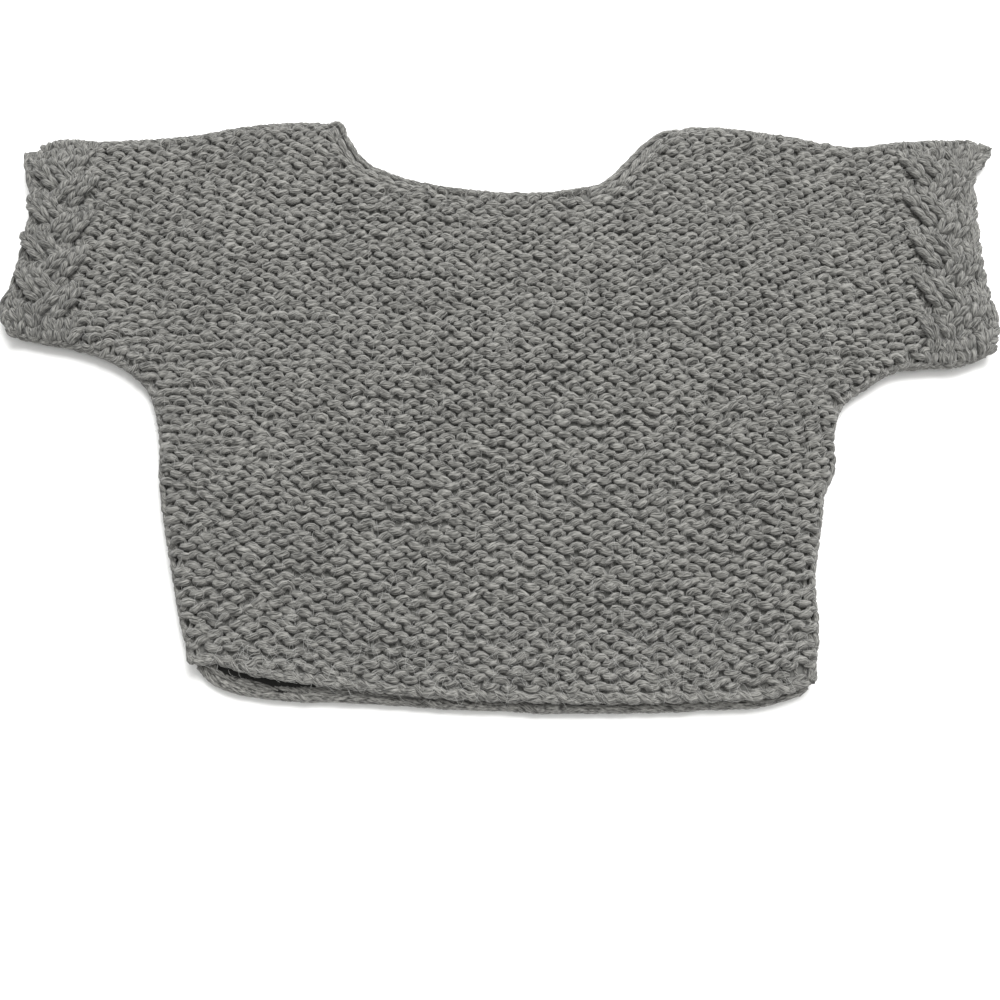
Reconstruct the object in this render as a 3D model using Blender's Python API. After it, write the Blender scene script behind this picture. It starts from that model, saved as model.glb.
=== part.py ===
"""A hand-knit sweater laid flat: front and back panels with short sleeves in one
with them, plaited cuffs at the sleeve ends and a narrow edge round the neck.

X runs across from the left sleeve to the right one, Y from the hem to the
shoulders and Z up from the surface. The origin is under the middle of the
garment. The sizes below are in millimetres, and the meshes are in metres.
"""

import math

import bpy
import numpy as np
from mathutils import Vector
from mathutils.geometry import delaunay_2d_cdt

MM = 0.001

# The knitted wall. The yarn is about 5 mm thick, and a wall is two yarns deep.
WALL = 8.8
SEAM_GAP = 0.3
FRONT_LEVEL = WALL + SEAM_GAP

# How a wall's edges are rounded. At a seam or a fold the two layers share one
# round edge. A free edge, as at the hem, neck and cuff ends, is round by itself.
EDGE_ROUND = 10.0
SEAM_EDGE = 1.3
FREE_ROUND = 5.0
FREE_LIFT = 3.0
FREE_EDGE = 2.0
FREE_REACH = 14.0

# The mesh: the distance between points along an edge and over a face, and how
# far in from the edge the rows of points lie that follow its rounding.
EDGE_STEP = 9.0
END_STEP = 5.4
FACE_STEP = 21.0
INSIDE_STEP = 34.0
PLAIT_STEP = 3.6
REST_STEP = 70.0
GRID_CLEARANCE = 4.0
ROW_TO_GRID = 0.4
ON_OUTLINE = 1.0
ROW_DEPTH_KEPT = 0.93
CURVE_PARTS = 24
CREASE_ANGLE = 50
ROUNDED_ROWS = (0.8, 2.6, 5.6, 10.2)
RELIEF_ROWS = (0.8, 2.6, 5.6)
TURNED_ROWS = (1.6, 5.2)

# The garment's edge, anticlockwise from the hem's left corner. The front and
# the back share it but for the hem and the neck, where the back is lower.
# Columns: place, x, y of the front, y of the back.
EDGE = (
    ("hem corner left", -206, -197, -198),
    ("hem", -192, -201, -210),
    ("hem", -163, -208, -218),
    ("hem", -112, -213, -221),
    ("hem", -39, -220, -225),
    ("hem", 44, -223, -228),
    ("hem", 121, -222, -226),
    ("hem", 173, -218, -221),
    ("hem corner right", 194, -209, -212),
    ("side right", 201, -189, -189),
    ("side right", 205, -133, -133),
    ("side right", 213, -96, -96),
    ("side right", 216, -79, -79),
    ("side right", 224, -64, -64),
    ("underarm right", 228, -30, -30),
    ("underarm right", 235, -13, -13),
    ("underarm right", 253, 1, 1),
    ("underarm right", 276, 14, 14),
    ("cuff seam right, under", 294, 16, 16),
    ("cuff right", 324, 19, 19),
    ("cuff end right, under", 347, 32, 32),
    ("cuff right", 353, 50, 50),
    ("cuff right", 350, 75, 75),
    ("cuff right", 350, 141, 141),
    ("cuff right", 355, 179, 179),
    ("cuff end right, top", 369, 202, 202),
    ("cuff right", 361, 209, 209),
    ("cuff right", 333, 211, 211),
    ("cuff seam right, top", 294, 209, 209),
    ("shoulder right", 267, 205, 205),
    ("shoulder right", 209, 216, 216),
    ("shoulder right", 159, 223, 223),
    ("neck seam right", 135, 223, 223),
    ("neck corner right", 117, 218, 218),
    ("neck", 101, 206, 203),
    ("neck", 85, 187, 184),
    ("neck", 70, 172, 169),
    ("neck", 45, 165, 162),
    ("neck", -7, 163, 160),
    ("neck", -52, 169, 166),
    ("neck", -85, 178, 175),
    ("neck", -106, 189, 186),
    ("neck", -121, 211, 208),
    ("neck corner left", -128, 226, 224),
    ("neck seam left", -146, 228, 228),
    ("shoulder left", -206, 222, 222),
    ("shoulder left", -241, 214, 214),
    ("cuff seam left, top", -310, 209, 209),
    ("cuff left", -351, 209, 209),
    ("cuff end left, top", -369, 198, 198),
    ("cuff left", -367, 180, 180),
    ("cuff left", -360, 158, 158),
    ("cuff left", -361, 112, 112),
    ("cuff left", -364, 86, 86),
    ("cuff left", -369, 60, 60),
    ("cuff end left, under", -361, 45, 45),
    ("cuff left", -339, 37, 37),
    ("cuff seam left, under", -310, 31, 31),
    ("underarm left", -277, 17, 17),
    ("underarm left", -258, 1, 1),
    ("underarm left", -248, -24, -24),
    ("side left", -241, -74, -74),
    ("side left", -226, -139, -139),
    ("side left", -214, -181, -181),
)

# The line where the neck edge meets the panel. Columns: x, y.
NECK_SEAM = (
    (135, 223),
    (118, 202),
    (100, 179),
    (84, 162),
    (63, 154),
    (-7, 153),
    (-55, 159),
    (-98, 167),
    (-119, 180),
    (-135, 205),
    (-146, 228),
)

# The plaits on the cuffs: three strands that cross down the sleeve's end.
# Columns: side, centre, y of the first crossing, distance between crossings and
# the direction in X that leads toward the neck.
PLAITS = {
    "left": (-334, 205, 31.5, 1),
    "right": (318, 198, 36.0, -1),
}
STRANDS = 3
STRAND_SWING = 15.0
STRAND_HALF_WIDTH = 10.5
STRAND_HALF_DEPTH = 4.6
STRAND_OVER = 2.3
PLAIT_GROUND = -1.6
PLAIT_FADE = 15.0

# Soft hollows in the front, where the cloth gives at the underarms and sleeves.
# Columns: x and y of one end, x and y of the other, depth, half width.
HOLLOWS = (
    (-247, -4, -187, 64, 1.6, 15),
    (-287, 62, -237, 178, 1.1, 17),
    (230, -8, 175, 56, 1.5, 15),
    (278, 54, 231, 170, 1.2, 17),
    (-183, -170, -85, -150, 0.9, 16),
    (69, -174, 167, -146, 0.8, 17),
)

# The front hem stands off the back a little at the left.
HEM_LIFT = 2.8
HEM_LIFT_AT = (-166, -210)
HEM_LIFT_REACH = (42, 26)

GREY = (0.170, 0.170, 0.160)
KNIT_ROUGHNESS = 0.92


def edge_rows(back):
    """The edge's places and points, for the back or for the front."""
    places = [row[0] for row in EDGE]
    points = [(row[1], row[3] if back else row[2]) for row in EDGE]
    return places, np.array(points, float)


def curve_through(points, closed):
    """A smooth line through the points, as a list of short runs, one per row."""
    count = len(points)
    if closed:
        before = np.roll(points, 1, axis=0)
        after = np.roll(points, -1, axis=0)
    else:
        before = np.vstack([points[:1], points[:-1]])
        after = np.vstack([points[1:], points[-1:]])
    back_length = np.linalg.norm(points - before, axis=1) + 1e-9
    fore_length = np.linalg.norm(after - points, axis=1) + 1e-9
    back_slope = (points - before) / back_length[:, None]
    fore_slope = (after - points) / fore_length[:, None]
    share = (fore_length / (back_length + fore_length))[:, None]
    slope = back_slope * share + fore_slope * (1 - share)
    runs = []
    for i in range(count if closed else count - 1):
        j = (i + 1) % count
        length = fore_length[i]
        t = np.arange(CURVE_PARTS)[:, None] / CURVE_PARTS
        runs.append(
            points[i] * (2 * t**3 - 3 * t**2 + 1)
            + slope[i] * length * (t**3 - 2 * t**2 + t)
            + points[j] * (3 * t**2 - 2 * t**3)
            + slope[j] * length * (t**3 - t**2)
        )
    return runs


def stretch(places, runs, points, start, end):
    """The edge from one named place to another, anticlockwise."""
    i = places.index(start)
    stop = places.index(end)
    parts = []
    while i != stop:
        parts.append(runs[i])
        i = (i + 1) % len(places)
    parts.append(points[stop : stop + 1])
    return np.vstack(parts)


def evenly(path, step):
    """The same line with its points about one step apart, both ends kept."""
    lengths = np.linalg.norm(np.diff(path, axis=0), axis=1)
    along = np.concatenate([[0.0], np.cumsum(lengths)])
    count = max(1, round(along[-1] / step))
    places = np.linspace(0.0, along[-1], count + 1)
    return np.column_stack([np.interp(places, along, path[:, k]) for k in (0, 1)])


def moved_sideways(path, distance):
    """The line moved to its left by a distance."""
    slope = np.gradient(path, axis=0)
    slope /= np.linalg.norm(slope, axis=1)[:, None]
    return path + distance * np.column_stack([-slope[:, 1], slope[:, 0]])


def distance_to(points, path):
    """How far each point is from a line of points."""
    start = path[:-1]
    run = path[1:] - start
    square = np.maximum((run**2).sum(axis=1), 1e-12)
    offset = points[:, None, :] - start[None]
    share = np.clip((offset * run).sum(axis=2) / square, 0.0, 1.0)
    return np.linalg.norm(offset - share[..., None] * run, axis=2).min(axis=1)


def is_inside(points, loop):
    """Whether each point lies inside a closed loop."""
    x, y = points[:, 0][:, None], points[:, 1][:, None]
    x1, y1 = loop[:, 0], loop[:, 1]
    x2, y2 = np.roll(x1, -1), np.roll(y1, -1)
    rise = np.where(y2 == y1, 1e-12, y2 - y1)
    crosses = (y1 > y) != (y2 > y)
    return (crosses & (x < (x2 - x1) * (y - y1) / rise + x1)).sum(axis=1) % 2 == 1


def smooth_step(value):
    value = np.clip(value, 0.0, 1.0)
    return value * value * (3.0 - 2.0 * value)


class Layer:
    """One layer of the garment, front or back: its edges and its two faces."""

    def __init__(self, back):
        self.places, self.points = edge_rows(back)
        self.runs = curve_through(self.points, closed=True)
        self.edge = np.vstack(self.runs + [self.runs[0][:1]])
        self.free = [
            self.between("hem corner left", "hem corner right"),
            self.between("neck corner right", "neck corner left"),
            self.between("cuff end right, under", "cuff end right, top"),
            self.between("cuff end left, top", "cuff end left, under"),
        ]

    def between(self, start, end):
        return stretch(self.places, self.runs, self.points, start, end)

    def outer(self, points):
        """Height of the outer face above the inner one, with its edges rounded."""
        away = distance_to(points, self.edge)
        free = np.min([distance_to(points, path) for path in self.free], axis=0)
        nearness = smooth_step(1.0 - free / FREE_REACH)
        lowest = SEAM_EDGE + nearness * (FREE_LIFT + FREE_EDGE - SEAM_EDGE)
        bend = np.clip(1.0 - away / EDGE_ROUND, 0.0, 1.0)
        return lowest + (WALL - lowest) * np.sqrt(1.0 - bend**2), away

    def inner(self, points):
        """Height by which the inner face turns up to a free edge."""
        free = np.min([distance_to(points, path) for path in self.free], axis=0)
        bend = np.clip(1.0 - free / FREE_ROUND, 0.0, 1.0)
        return FREE_LIFT * (1.0 - np.sqrt(1.0 - bend**2))


FRONT = Layer(back=False)
BACK = Layer(back=True)


def hollows(points):
    """Depth of the soft hollows in the front."""
    depth = np.zeros(len(points))
    for x1, y1, x2, y2, deep, half_width in HOLLOWS:
        line = np.array([(x1, y1), (x2, y2)], float)
        away = distance_to(points, line)
        depth += deep * np.exp(-((away / half_width) ** 2))
    return depth


def hem_lift(points):
    """Height by which the front's hem stands off the back."""
    away = (points - np.array(HEM_LIFT_AT)) / np.array(HEM_LIFT_REACH)
    return HEM_LIFT * np.exp(-(away**2).sum(axis=1))


def plait(points, side):
    """Relief of a cuff: the highest of its three crossing strands."""
    centre, first_y, pitch, inward = PLAITS[side]
    across = (points[:, 0] - centre) * inward
    turn = math.tau / (STRANDS * pitch)
    phase = math.pi / 2 + (first_y - points[:, 1]) * turn
    relief = np.full(len(points), PLAIT_GROUND)
    for strand in range(STRANDS):
        angle = phase + strand * math.tau / STRANDS
        slope = STRAND_SWING * turn * np.cos(angle)
        from_line = (across - STRAND_SWING * np.sin(angle)) / np.sqrt(1 + slope**2)
        bulge = np.clip(1.0 - (from_line / STRAND_HALF_WIDTH) ** 2, 0.0, 1.0)
        level = -STRAND_OVER * np.sin(2 * angle)
        height = level + STRAND_HALF_DEPTH * (np.sqrt(bulge) - 0.5)
        relief = np.maximum(relief, np.where(bulge > 0, height, PLAIT_GROUND))
    return relief


def front_faces(points, side=None):
    """Lower and upper heights of the front layer, with the plait on a cuff."""
    outer, away = FRONT.outer(points)
    lift = hem_lift(points)
    low = FRONT_LEVEL + FRONT.inner(points) + lift
    high = FRONT_LEVEL + outer + lift - hollows(points) * smooth_step(away / EDGE_ROUND)
    if side:
        high = high + plait(points, side) * smooth_step(away / PLAIT_FADE)
    return low, high


def back_faces(points):
    """Lower and upper heights of the back layer. It rests flat on the surface."""
    outer, away = BACK.outer(points)
    low = np.where(away < EDGE_ROUND, WALL - outer, 0.0)
    return low, WALL - BACK.inner(points)


def ring_points(loop, outline, depths):
    """Points inside a loop at set distances from the garment's outline."""
    following = np.roll(loop, -1, axis=0)
    slope = following - np.roll(loop, 1, axis=0)
    slope /= np.linalg.norm(slope, axis=1)[:, None]
    normal = np.column_stack([-slope[:, 1], slope[:, 0]])
    rings = []
    for depth in depths:
        ring = loop + depth * normal
        on_outline = distance_to(loop, outline) < ON_OUTLINE
        deep_enough = distance_to(ring, outline) > ROW_DEPTH_KEPT * depth
        kept = ring[on_outline & deep_enough]
        rings.append(kept[is_inside(kept, loop)])
    return np.vstack(rings)


def grid_points(loop, step, clearance):
    """A grid of points inside a loop, clear of its edge."""
    low = loop.min(axis=0)
    high = loop.max(axis=0)
    columns, rows = np.maximum(1, np.round((high - low) / step)).astype(int)
    x = low[0] + (np.arange(columns) + 0.5) * (high[0] - low[0]) / columns
    y = low[1] + (np.arange(rows) + 0.5) * (high[1] - low[1]) / rows
    grid = np.stack(np.meshgrid(x, y), axis=-1).reshape(-1, 2)
    grid = grid[is_inside(grid, loop)]
    return grid[distance_to(grid, np.vstack([loop, loop[:1]])) > clearance]


def spaced(points, kept, gap):
    """Those of the points that lie a gap or more from the kept ones."""
    if not len(points) or not len(kept):
        return points
    away = np.linalg.norm(points[:, None] - kept[None], axis=2).min(axis=1)
    return points[away >= gap]


def triangulate(loop, inner_points):
    """Triangles over a loop and the points inside it."""
    count = len(loop)
    points = [Vector(point) for point in np.vstack([loop, inner_points])]
    result = delaunay_2d_cdt(points, [], [list(range(count))], 1, 1e-4)
    return np.array([tuple(point) for point in result[0]]), result[2]


def closed_solid(name, loop, faces, upper_points, lower_points):
    """A wall over a loop: an upper face, a lower face and the side between."""
    upper, upper_triangles = triangulate(loop, upper_points)
    lower, lower_triangles = triangulate(loop, lower_points)
    upper_z = faces(upper)[1]
    lower_z = faces(lower)[0]
    count = len(loop)
    vertices = [(x, y, z) for (x, y), z in zip(upper, upper_z)]
    vertices += [(x, y, z) for (x, y), z in zip(lower, lower_z)]
    shift = len(upper)
    polygons = [tuple(face) for face in upper_triangles]
    polygons += [tuple(shift + k for k in reversed(face)) for face in lower_triangles]
    for i in range(count):
        j = (i + 1) % count
        polygons.append((i, shift + i, shift + j, j))
    mesh = bpy.data.meshes.new(name)
    mesh.from_pydata([tuple(MM * v for v in vertex) for vertex in vertices], [], polygons)
    mesh.validate()
    mesh.materials.append(knit_material(name))
    mesh.shade_smooth()
    mesh.set_sharp_from_angle(angle=math.radians(CREASE_ANGLE))
    solid = bpy.data.objects.new(name, mesh)
    bpy.context.scene.collection.objects.link(solid)
    return solid


def knit_material(name):
    """The mid-grey heather yarn."""
    material = bpy.data.materials.new(name)
    material.use_nodes = True
    shader = material.node_tree.nodes["Principled BSDF"]
    shader.inputs["Base Color"].default_value = (*GREY, 1.0)
    shader.inputs["Roughness"].default_value = KNIT_ROUGHNESS
    shader.inputs["Metallic"].default_value = 0.0
    return material


def joined(*paths):
    """A closed loop from open lines laid end to end."""
    return np.vstack([path[:-1] for path in paths])


def cuff_seam(layer, side, shift):
    """The line between a sleeve and its cuff, from the underarm to the top."""
    under = layer.between(f"cuff seam {side}, under", f"cuff seam {side}, under")
    top = layer.between(f"cuff seam {side}, top", f"cuff seam {side}, top")
    line = np.vstack([under, top])
    line[:, 0] += shift
    return evenly(line, EDGE_STEP)


def neck_seam(layer, shift):
    """The line where the neck edge is worked on, from right to left."""
    line = np.vstack(curve_through(np.array(NECK_SEAM, float), closed=False))
    line = np.vstack([line, NECK_SEAM[-1]])
    return moved_sideways(evenly(line, EDGE_STEP), shift)


def panel_loop(layer):
    """The edge of a panel with its two short sleeves, but for cuffs and neck edge."""
    half = SEAM_GAP / 2
    right = cuff_seam(layer, "right", -half)
    left = cuff_seam(layer, "left", half)[::-1]
    neck = neck_seam(layer, half)
    right_top = layer.between("cuff seam right, top", "neck seam right")
    left_top = layer.between("neck seam left", "cuff seam left, top")
    below = layer.between("cuff seam left, under", "cuff seam right, under")
    right_top = evenly(np.vstack([right[-1:], right_top[1:-1], neck[:1]]), EDGE_STEP)
    left_top = evenly(np.vstack([neck[-1:], left_top[1:-1], left[:1]]), EDGE_STEP)
    below = evenly(np.vstack([left[-1:], below[1:-1], right[:1]]), EDGE_STEP)
    return joined(below, right, right_top, neck, left_top, left)


def cuff_loop(layer, side):
    """The edge of one cuff."""
    half = SEAM_GAP / 2
    if side == "right":
        seam = cuff_seam(layer, side, half)[::-1]
        end = layer.between("cuff seam right, under", "cuff seam right, top")
    else:
        seam = cuff_seam(layer, side, -half)
        end = layer.between("cuff seam left, top", "cuff seam left, under")
    end = evenly(np.vstack([seam[-1:], end[1:-1], seam[:1]]), END_STEP)
    return joined(seam, end)


def neck_loop(layer):
    """The edge of the narrow strip round the neck."""
    seam = neck_seam(layer, -SEAM_GAP / 2)[::-1]
    neckline = layer.between("neck seam right", "neck seam left")
    neckline = evenly(np.vstack([seam[-1:], neckline[1:-1], seam[:1]]), END_STEP)
    return joined(seam, neckline)


def face_points(loop, layer, depths, step):
    """Points for a face: rows that follow the rounded edge, then a grid."""
    rings = ring_points(loop, layer.edge, depths)
    gap = ROW_TO_GRID * step
    grid = grid_points(loop, step, min(gap, GRID_CLEARANCE))
    grid = grid[distance_to(grid, layer.edge) > max(depths) + gap]
    return np.vstack([rings, spaced(grid, rings, gap)])


def build_front_panel():
    loop = panel_loop(FRONT)
    upper = face_points(loop, FRONT, ROUNDED_ROWS, FACE_STEP)
    lower = face_points(loop, FRONT, TURNED_ROWS, INSIDE_STEP)
    closed_solid("front", loop, front_faces, upper, lower)


def build_back_panel():
    loop = panel_loop(BACK)
    upper = face_points(loop, BACK, TURNED_ROWS, REST_STEP)
    lower = face_points(loop, BACK, ROUNDED_ROWS, REST_STEP)
    closed_solid("back", loop, back_faces, upper, lower)


def build_cuffs(side):
    """A cuff's front half with its plait raised, and its back half, which rests."""
    loop = cuff_loop(FRONT, side)
    upper = face_points(loop, FRONT, RELIEF_ROWS, PLAIT_STEP)
    lower = face_points(loop, FRONT, TURNED_ROWS, FACE_STEP)
    name = f"cuff_{side}_front"
    closed_solid(name, loop, lambda points: front_faces(points, side), upper, lower)
    loop = cuff_loop(BACK, side)
    upper = face_points(loop, BACK, TURNED_ROWS, FACE_STEP)
    lower = face_points(loop, BACK, ROUNDED_ROWS, FACE_STEP)
    closed_solid(f"cuff_{side}_back", loop, back_faces, upper, lower)


def build_neck_edges():
    """The strip round the neck: the front's half shows, the back's lies below."""
    loop = neck_loop(FRONT)
    points = face_points(loop, FRONT, RELIEF_ROWS, EDGE_STEP)
    closed_solid("neck_edge_front", loop, front_faces, points, points)
    loop = neck_loop(BACK)
    points = face_points(loop, BACK, RELIEF_ROWS, EDGE_STEP)
    closed_solid("neck_edge_back", loop, back_faces, points, points)


for old in list(bpy.data.objects):
    bpy.data.objects.remove(old, do_unlink=True)

build_front_panel()
build_back_panel()
for cuff_side in PLAITS:
    build_cuffs(cuff_side)
build_neck_edges()
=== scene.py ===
"""A hand-knit sweater laid flat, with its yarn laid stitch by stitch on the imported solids.

X runs across from the left sleeve to the right one, Y from the hem to the
shoulders and Z up from the surface. Sizes are in millimetres; meshes in metres.
"""

import math

import bpy
import numpy as np
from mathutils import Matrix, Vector
from mathutils.geometry import delaunay_2d_cdt
from mathutils.kdtree import KDTree


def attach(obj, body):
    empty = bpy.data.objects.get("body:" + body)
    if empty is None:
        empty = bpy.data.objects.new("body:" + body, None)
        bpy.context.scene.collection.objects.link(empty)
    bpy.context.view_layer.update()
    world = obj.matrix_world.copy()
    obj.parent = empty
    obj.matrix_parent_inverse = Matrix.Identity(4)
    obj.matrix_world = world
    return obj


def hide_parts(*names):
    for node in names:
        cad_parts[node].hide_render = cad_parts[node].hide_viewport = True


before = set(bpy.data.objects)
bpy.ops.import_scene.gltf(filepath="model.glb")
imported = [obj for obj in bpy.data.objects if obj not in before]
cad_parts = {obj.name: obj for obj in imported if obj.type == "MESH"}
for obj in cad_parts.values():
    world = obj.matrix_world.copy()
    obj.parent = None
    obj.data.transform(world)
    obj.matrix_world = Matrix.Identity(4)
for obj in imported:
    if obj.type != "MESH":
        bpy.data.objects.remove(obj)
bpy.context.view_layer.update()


# The back's cloth. The back is knitted from the hem to the shoulders in thick
# grey heather yarn. This thin skin is the inside of its stitches, painted near
# black as painted shade, and it follows the middle of the wall round the folds
# and seams.
MM = 0.001          # one millimetre in metres
WALL = 8.8          # thickness of one layer
MIDDLE = 8.95       # height at which front and back meet
HALF = 4.5          # from there to the middle of a layer's wall
EDGE_ROUND = 10.0   # the wall turns down within this far of its edge
EDGE_STEP = 0.6     # spacing of the points kept along the edge
SEAM_AT = 2.0       # the flat cloth ends this far inside the edge
DRAWN_IN = 1.6      # how far yarn is drawn in where the edge is sewn or folded
FREE_REACH = 14.0   # this near a free edge the cloth isn't turned down
FREE_DROP = 1.2     # how much lower a free edge lies at its rim

# The garment's edge, anticlockwise. Columns: place, x, y of front, y of back.
EDGE = (
    ("hem corner left", -206, -197, -198),
    ("hem", -192, -198, -210),
    ("hem", -163, -206, -218),
    ("hem", -112, -213, -221),
    ("hem", -39, -220, -225),
    ("hem", 44, -223, -228),
    ("hem", 121, -222, -226),
    ("hem", 173, -218, -221),
    ("hem corner right", 194, -209, -212),
    ("side right", 201, -189, -189),
    ("side right", 205, -133, -133),
    ("side right", 213, -96, -96),
    ("side right", 216, -79, -79),
    ("side right", 224, -64, -64),
    ("underarm right", 228, -30, -30),
    ("underarm right", 235, -13, -13),
    ("underarm right", 253, 1, 1),
    ("underarm right", 276, 14, 14),
    ("cuff seam right, under", 294, 16, 16),
    ("cuff right", 324, 19, 19),
    ("cuff end right, under", 347, 32, 32),
    ("cuff right", 353, 50, 50),
    ("cuff right", 350, 75, 75),
    ("cuff right", 350, 141, 141),
    ("cuff right", 355, 179, 179),
    ("cuff end right, top", 369, 202, 202),
    ("cuff right", 361, 209, 209),
    ("cuff right", 333, 211, 211),
    ("cuff seam right, top", 294, 209, 209),
    ("shoulder right", 267, 205, 205),
    ("shoulder right", 209, 216, 216),
    ("shoulder right", 159, 223, 223),
    ("neck seam right", 135, 223, 223),
    ("neck corner right", 117, 218, 218),
    ("neck", 101, 206, 203),
    ("neck", 85, 187, 184),
    ("neck", 70, 172, 169),
    ("neck", 45, 165, 162),
    ("neck", -7, 163, 160),
    ("neck", -52, 169, 166),
    ("neck", -85, 178, 175),
    ("neck", -106, 189, 186),
    ("neck", -121, 211, 208),
    ("neck corner left", -128, 226, 224),
    ("neck seam left", -146, 228, 228),
    ("shoulder left", -206, 223.5, 223.5),
    ("shoulder left", -241, 216, 216),
    ("cuff seam left, top", -310, 210.5, 210.5),
    ("cuff left", -351, 210, 210),
    ("cuff end left, top", -369, 198, 198),
    ("cuff left", -367, 180, 180),
    ("cuff left", -360, 158, 158),
    ("cuff left", -361, 112, 112),
    ("cuff left", -364, 86, 86),
    ("cuff left", -369, 60, 60),
    ("cuff end left, under", -361, 45, 45),
    ("cuff left", -339, 37, 37),
    ("cuff seam left, under", -310, 31, 31),
    ("underarm left", -277, 17, 17),
    ("underarm left", -258, 1, 1),
    ("underarm left", -248, -24, -24),
    ("side left", -241, -74, -74),
    ("side left", -226, -139, -139),
    ("side left", -214, -181, -181),
)
PLACES = [row[0] for row in EDGE]

# Where the neck edge is worked on. Columns: x, y.
NECK_SEAM = (
    (135, 223), (118, 202), (100, 179), (84, 162), (63, 154), (-7, 153),
    (-55, 159), (-98, 167), (-119, 180), (-135, 205), (-146, 228),
)

# Soft hollows in the front. Columns: x, y, x, y, depth, half width.
HOLLOWS = (
    (-247, -4, -187, 64, 1.6, 15),
    (-287, 62, -237, 178, 1.1, 17),
    (230, -8, 175, 56, 1.5, 15),
    (278, 54, 231, 170, 1.2, 17),
    (-183, -170, -85, -150, 0.9, 16),
    (69, -174, 167, -146, 0.8, 17),
)
# Where the front's hem stands off the back: height, middle, reach in x and y.
HEM_LIFT, HEM_LIFT_AT, HEM_LIFT_REACH = 2.8, (-166, -210), (42, 26)


def smooth(value):
    value = np.clip(value, 0.0, 1.0)
    return value * value * (3.0 - 2.0 * value)


def curve_through(points, closed=False, parts=24):
    """A smooth line through the points, as one run of small steps from each."""
    points = np.array(points, float)
    before, after = np.roll(points, 1, axis=0), np.roll(points, -1, axis=0)
    if not closed:
        before[0], after[-1] = points[0], points[-1]
    back = np.linalg.norm(points - before, axis=1)[:, None] + 1e-9
    fore = np.linalg.norm(after - points, axis=1)[:, None] + 1e-9
    share = fore / (back + fore)
    slope = (points - before) / back * share + (after - points) / fore * (1 - share)
    t = np.arange(parts)[:, None] / parts
    runs = []
    for i in range(len(points) - (not closed)):
        j = (i + 1) % len(points)
        runs.append(
            points[i] * (2 * t**3 - 3 * t**2 + 1)
            + slope[i] * fore[i] * (t**3 - 2 * t**2 + t)
            + points[j] * (3 * t**2 - 2 * t**3)
            + slope[j] * fore[i] * (t**3 - t**2)
        )
    return runs


def run_of(line):
    """How far along a line each of its points lies."""
    steps = np.linalg.norm(np.diff(line, axis=0), axis=1)
    return np.concatenate([[0.0], np.cumsum(steps)])


def evenly(path, step):
    """The same line with its points about one step apart."""
    path = np.asarray(path, float)
    along = run_of(path)
    places = np.linspace(0.0, along[-1], max(2, round(along[-1] / step) + 1))
    columns = [np.interp(places, along, path[:, k]) for k in range(path.shape[1])]
    return np.column_stack(columns)


def is_inside(points, loop):
    """Which of the flat points lie inside a closed loop."""
    x, y = points[:, 0][:, None], points[:, 1][:, None]
    x1, y1 = loop[:, 0], loop[:, 1]
    x2, y2 = np.roll(x1, -1), np.roll(y1, -1)
    rise = np.where(y2 == y1, 1e-12, y2 - y1)
    crosses = (y1 > y) != (y2 > y)
    return (crosses & (x < (x2 - x1) * (y - y1) / rise + x1)).sum(axis=1) % 2 == 1


def nearest(points, samples):
    """The number of the sample nearest to each point, and its distance."""
    tree = KDTree(len(samples))
    for i, (x, y) in enumerate(samples):
        tree.insert((x, y, 0.0), i)
    tree.balance()
    found = [tree.find((x, y, 0.0))[1:] for x, y in points]
    return np.array([f[0] for f in found]), np.array([f[1] for f in found])


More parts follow.
